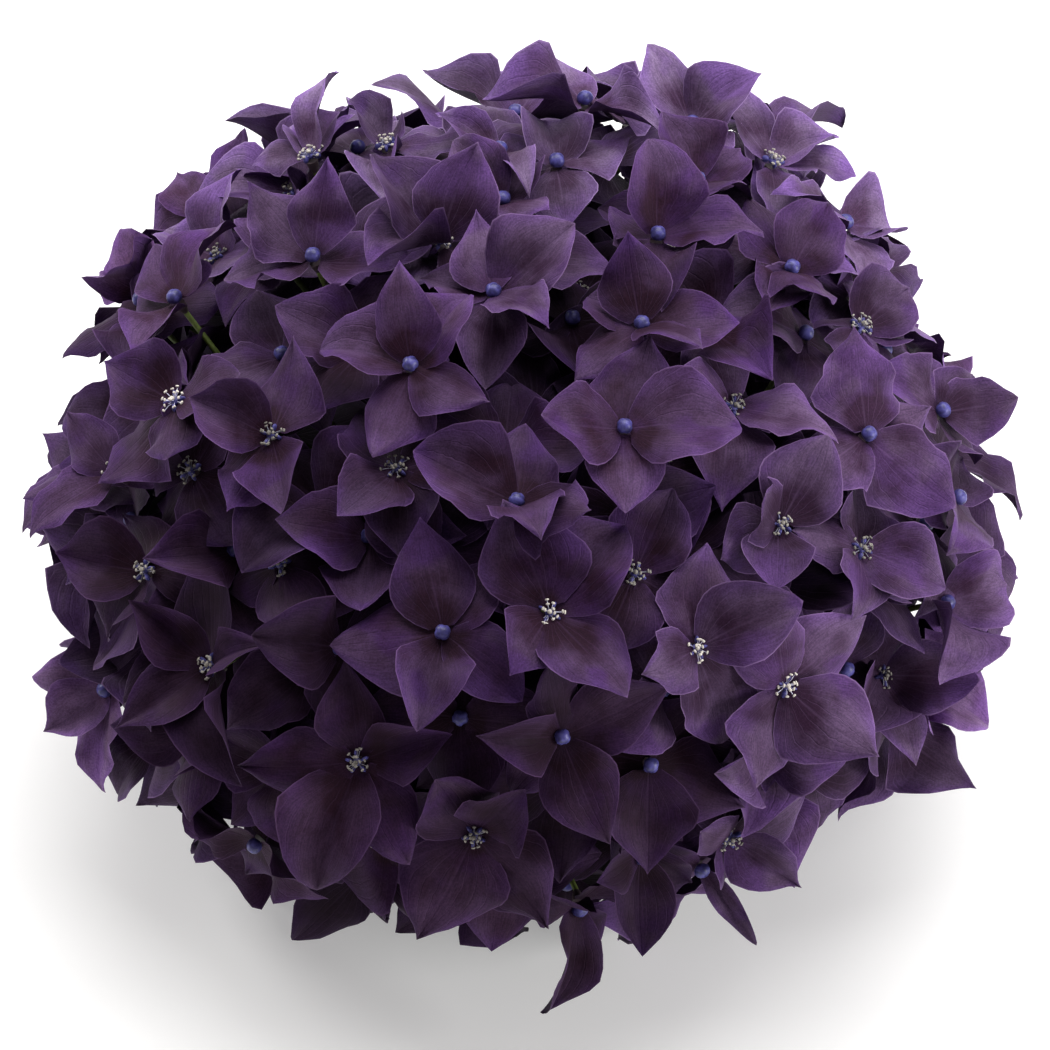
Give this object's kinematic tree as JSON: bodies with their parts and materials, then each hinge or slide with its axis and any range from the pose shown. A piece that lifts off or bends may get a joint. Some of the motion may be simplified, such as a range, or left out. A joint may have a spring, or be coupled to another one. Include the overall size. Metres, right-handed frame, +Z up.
{
  "type": "cut hydrangea flower head",
  "caption": "Cut mophead hydrangea bloom on a short stalk, with rays that carry overlapping sprays of broad dark purple florets.",
  "frame": {"origin": "middle of the flat cut at the foot of the flower stalk, on the table that the head stands on", "axes": "+Z is up the flower head's own axis, -Y is the side seen in the picture, +X is to the right in that view"},
  "size_m": [0.2044, 0.2057, 0.1527],
  "materials": {
    "sepals": "matt dark purple sepals with fine veins and a pale violet sheen, blue beads and cream stamens in the florets' middles",
    "stalk": "matt green stem, faintly ribbed"
  },
  "bodies": {
    "root": {"flower_stalk": "stalk", "ray_back_1": "stalk", "ray_back_10": "stalk", "ray_back_2": "stalk", "ray_back_3": "stalk", "ray_back_4": "stalk", "ray_back_5": "stalk", "ray_back_6": "stalk", "ray_back_7": "stalk", "ray_back_8": "stalk", "ray_back_9": "stalk", "ray_crest": "stalk", "ray_crown_left": "stalk", "ray_crown_right": "stalk", "ray_lower_left": "stalk", "ray_lower_mid": "stalk", "ray_lower_right": "stalk", "ray_middle_left": "stalk", "ray_middle_right": "stalk", "ray_side_left": "stalk", "ray_side_right": "stalk", "ray_skirt_left": "stalk", "ray_skirt_right": "stalk", "ray_upper_left": "stalk", "ray_upper_mid": "stalk", "ray_upper_right": "stalk", "spray_back_1": "sepals", "spray_back_10": "sepals", "spray_back_2": "sepals", "spray_back_3": "sepals", "spray_back_4": "sepals", "spray_back_5": "sepals", "spray_back_6": "sepals", "spray_back_7": "sepals", "spray_back_8": "sepals", "spray_back_9": "sepals", "spray_crest": "sepals", "spray_crown_left": "sepals", "spray_crown_right": "sepals", "spray_lower_left": "sepals", "spray_lower_mid": "sepals", "spray_lower_right": "sepals", "spray_middle_left": "sepals", "spray_middle_right": "sepals", "spray_side_left": "sepals", "spray_side_right": "sepals", "spray_skirt_left": "sepals", "spray_skirt_right": "sepals", "spray_upper_left": "sepals", "spray_upper_mid": "sepals", "spray_upper_right": "sepals"}
  },
  "joints": []
}
